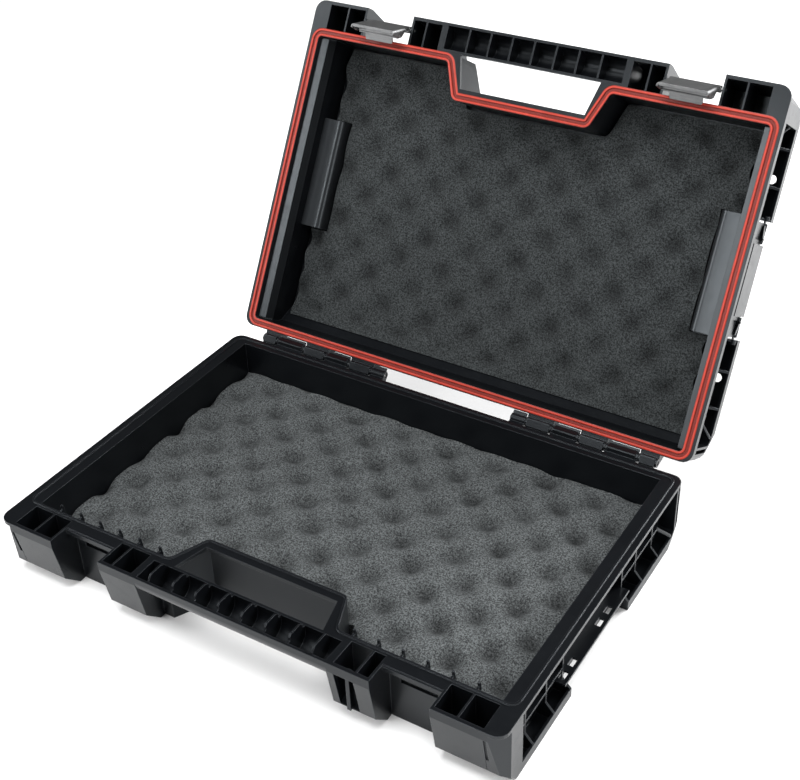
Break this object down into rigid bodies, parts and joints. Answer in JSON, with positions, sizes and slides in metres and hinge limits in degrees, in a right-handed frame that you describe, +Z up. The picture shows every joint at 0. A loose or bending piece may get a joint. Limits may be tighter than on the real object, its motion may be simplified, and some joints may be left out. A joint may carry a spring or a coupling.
{
  "type": "hard tool case",
  "caption": "Hard plastic tool case with a hinged lid, a grip moulded half in each shell, draw latches, a rim seal, foam pads and folding side clips, lid standing open.",
  "frame": {"origin": "Centre of the base's footprint, on the surface that the case lies on", "axes": "+X to the right along the grip, +Y from the grip to the hinges, +Z up; the lid stands open by 120 degrees"},
  "size_m": [0.45, 0.5068, 0.3313],
  "materials": {
    "case_plastic": "satin",
    "latch_plastic": "satin",
    "seal_rubber": "satin",
    "foam": "matte",
    "steel": "satin"
  },
  "bodies": {
    "base": {"base_shell": "case_plastic", "base_foam": "foam", "hinge_pin_left": "steel", "hinge_pin_right": "steel"},
    "lid": {"lid_shell": "case_plastic", "lid_seal": "seal_rubber", "lid_foam": "foam", "latch_left_lever_pin": "steel", "latch_right_lever_pin": "steel", "side_clip_left_pin": "steel", "side_clip_right_pin": "steel"},
    "lever_left": {"latch_left_lever": "steel", "latch_left_claw_pin": "steel"},
    "claw_left": {"latch_left_claw": "steel"},
    "clip_left": {"side_clip_left": "latch_plastic"},
    "lever_right": {"latch_right_lever": "steel", "latch_right_claw_pin": "steel"},
    "claw_right": {"latch_right_claw": "steel"},
    "clip_right": {"side_clip_right": "latch_plastic"}
  },
  "joints": [
    {"name": "lid_hinge", "type": "hinge", "parent": "base", "child": "lid", "pos_m": [0, 0.1615, 0.0577], "axis": [1, 0, 0], "range_deg": [0, 120]},
    {"name": "latch_left_lift", "type": "hinge", "parent": "lid", "child": "lever_left", "pos_m": [-0.1455, 0.31679, 0.31907], "axis": [-1, 0, 0], "range_deg": [0, 100]},
    {"name": "claw_left_swing", "type": "hinge", "parent": "lever_left", "child": "claw_left", "pos_m": [-0.1455, 0.29813, 0.32005], "axis": [1, 0, 0], "range_deg": [-90, 18]},
    {"name": "side_clip_left_fold", "type": "hinge", "parent": "lid", "child": "clip_left", "pos_m": [-0.221, 0.27793, 0.17696], "axis": [0, -0.5, -0.866], "range_deg": [0, 165]},
    {"name": "latch_right_lift", "type": "hinge", "parent": "lid", "child": "lever_right", "pos_m": [0.1455, 0.31679, 0.31907], "axis": [-1, 0, 0], "range_deg": [0, 100]},
    {"name": "claw_right_swing", "type": "hinge", "parent": "lever_right", "child": "claw_right", "pos_m": [0.1455, 0.29813, 0.32005], "axis": [1, 0, 0], "range_deg": [-90, 18]},
    {"name": "side_clip_right_fold", "type": "hinge", "parent": "lid", "child": "clip_right", "pos_m": [0.221, 0.27793, 0.17696], "axis": [0, 0.5, 0.866], "range_deg": [0, 165]}
  ]
}
